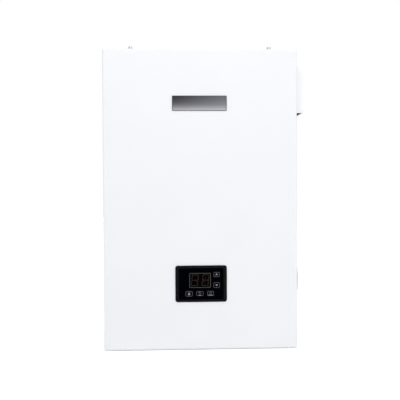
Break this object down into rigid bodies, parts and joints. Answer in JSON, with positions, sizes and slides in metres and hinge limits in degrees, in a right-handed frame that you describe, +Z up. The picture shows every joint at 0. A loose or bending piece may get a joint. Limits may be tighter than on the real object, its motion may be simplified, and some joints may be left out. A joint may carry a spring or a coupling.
{
  "type": "electric heating boiler",
  "caption": "Wall-hung electric heating boiler: white sheet-metal case with control console, side vent hood, heater tank, pump, expansion vessel and electrics.",
  "frame": {"origin": "on the wall plane, midway between the centres of the two hanging holes", "axes": "+X right seen from the front, +Y into the wall, +Z up"},
  "size_m": [0.445, 0.2225, 0.6557],
  "materials": {
    "powder_coat": "fine satin powder coat, white",
    "silver_plate": "brushed, bare",
    "zinc": "zinc plated",
    "black_moulding": "moulded black, satin",
    "black_gloss": "glossy black",
    "smoked_window": "tinted, clear",
    "led_red": "unlit red LED",
    "circuit_board": "green solder resist",
    "grey_plastic": "light grey moulding",
    "blue_plastic": "moulded",
    "dark_plastic": "dark moulding",
    "red_plastic": "red moulding",
    "stainless": "drawn stainless steel",
    "sink_aluminium": "extruded",
    "impeller_polymer": "moulded",
    "brass": "machined",
    "copper": "drawn copper tube",
    "cast_iron": "painted casting",
    "motor_paint": "grey stoving paint",
    "vessel_paint": "red stoving paint",
    "braid": "rubber hose in steel braid",
    "wire_insulation": "insulated wires"
  },
  "bodies": {
    "chassis": {"back_plate": "powder_coat", "left_side_panel": "powder_coat", "right_side_panel": "powder_coat", "top_panel": "powder_coat", "bottom_panel": "powder_coat", "side_vent_hood": "powder_coat", "hood_grille": "black_moulding", "cover_screws": "zinc", "console_bracket": "zinc", "console_housing": "black_moulding", "control_bezel": "black_moulding", "console_face": "black_gloss", "display_lens": "smoked_window", "led_display": "led_red", "display_board": "circuit_board", "breaker_bracket": "zinc", "din_rail": "zinc", "breaker_body": "grey_plastic", "breaker_frame": "grey_plastic", "cable_glands": "black_moulding", "electrics_plate": "zinc", "power_board": "circuit_board", "heat_sink": "sink_aluminium", "triac_modules": "dark_plastic", "contactor": "dark_plastic", "terminal_block": "grey_plastic", "overheat_thermostat": "dark_plastic", "heater_tank": "stainless", "tank_brackets": "zinc", "element_flange": "brass", "heating_elements": "stainless", "outlet_tee": "brass", "air_vent": "brass", "flow_pipe": "copper", "flow_switch": "brass", "return_manifold": "brass", "temperature_sensors": "brass", "union_nuts": "brass", "pump_volute": "cast_iron", "pump_motor": "motor_paint", "expansion_vessel": "vessel_paint", "vessel_hose": "braid", "safety_valve": "brass", "pressure_gauge": "dark_plastic", "wiring": "wire_insulation"},
    "cover": {"front_cover": "powder_coat", "nameplate": "silver_plate"},
    "key_up": {"key_up": "black_gloss"},
    "key_down": {"key_down": "black_gloss"},
    "key_heating": {"key_heating": "black_gloss"},
    "key_tap": {"key_tap": "black_gloss"},
    "key_power": {"key_power": "black_gloss"},
    "breaker_lever": {"breaker_lever": "blue_plastic"},
    "breaker_flap": {"breaker_flap": "grey_plastic"},
    "contactor_plunger": {"contactor_plunger": "red_plastic"},
    "reset_button": {"reset_button": "red_plastic"},
    "pump_speed_knob": {"pump_speed_knob": "red_plastic"},
    "pump_impeller": {"pump_impeller": "impeller_polymer"},
    "valve_knob": {"valve_knob": "red_plastic"},
    "gauge_needle": {"gauge_needle": "red_plastic"}
  },
  "joints": [
    {"name": "cover_pull", "type": "slide", "parent": "chassis", "child": "cover", "axis": [0, -1, 0], "range_m": [0, 0.3]},
    {"name": "key_up_press", "type": "slide", "parent": "chassis", "child": "key_up", "axis": [0, 1, 0], "range_m": [0, 0.0005], "stiffness_N_per_m": 1200, "springref_m": -0.0005},
    {"name": "key_down_press", "type": "slide", "parent": "chassis", "child": "key_down", "axis": [0, 1, 0], "range_m": [0, 0.0005], "stiffness_N_per_m": 1200, "springref_m": -0.0005},
    {"name": "key_heating_press", "type": "slide", "parent": "chassis", "child": "key_heating", "axis": [0, 1, 0], "range_m": [0, 0.0005], "stiffness_N_per_m": 1200, "springref_m": -0.0005},
    {"name": "key_tap_press", "type": "slide", "parent": "chassis", "child": "key_tap", "axis": [0, 1, 0], "range_m": [0, 0.0005], "stiffness_N_per_m": 1200, "springref_m": -0.0005},
    {"name": "key_power_press", "type": "slide", "parent": "chassis", "child": "key_power", "axis": [0, 1, 0], "range_m": [0, 0.0005], "stiffness_N_per_m": 1200, "springref_m": -0.0005},
    {"name": "breaker_lever_turn", "type": "hinge", "parent": "chassis", "child": "breaker_lever", "pos_m": [0.205, -0.121, -0.4445], "axis": [0, 1, 0], "range_deg": [0, 60]},
    {"name": "breaker_flap_swing", "type": "hinge", "parent": "chassis", "child": "breaker_flap", "pos_m": [0.2131, -0.121, -0.4185], "axis": [0, -1, 0], "range_deg": [0, 110]},
    {"name": "contactor_plunger_pull", "type": "slide", "parent": "chassis", "child": "contactor_plunger", "axis": [0, 1, 0], "range_m": [0, 0.0035], "stiffness_N_per_m": 900, "springref_m": -0.001},
    {"name": "reset_button_press", "type": "slide", "parent": "chassis", "child": "reset_button", "axis": [0, 1, 0], "range_m": [0, 0.0015], "stiffness_N_per_m": 1200, "springref_m": -0.0005},
    {"name": "pump_speed_turn", "type": "hinge", "parent": "chassis", "child": "pump_speed_knob", "pos_m": [-0.1215, -0.1815, -0.3905], "axis": [0, 1, 0], "range_deg": [0, 90]},
    {"name": "pump_impeller_spin", "type": "hinge", "parent": "chassis", "child": "pump_impeller", "pos_m": [-0.1215, -0.0995, -0.4435], "axis": [0, -1, 0], "continuous": true},
    {"name": "safety_valve_turn", "type": "hinge", "parent": "chassis", "child": "valve_knob", "pos_m": [-0.1215, -0.1695, -0.5345], "axis": [0, -1, 0], "range_deg": [0, 90]},
    {"name": "gauge_needle_turn", "type": "hinge", "parent": "chassis", "child": "gauge_needle", "pos_m": [0.02, -0.1364, -0.56], "axis": [0, 0, 1], "range_deg": [0, 270]}
  ]
}
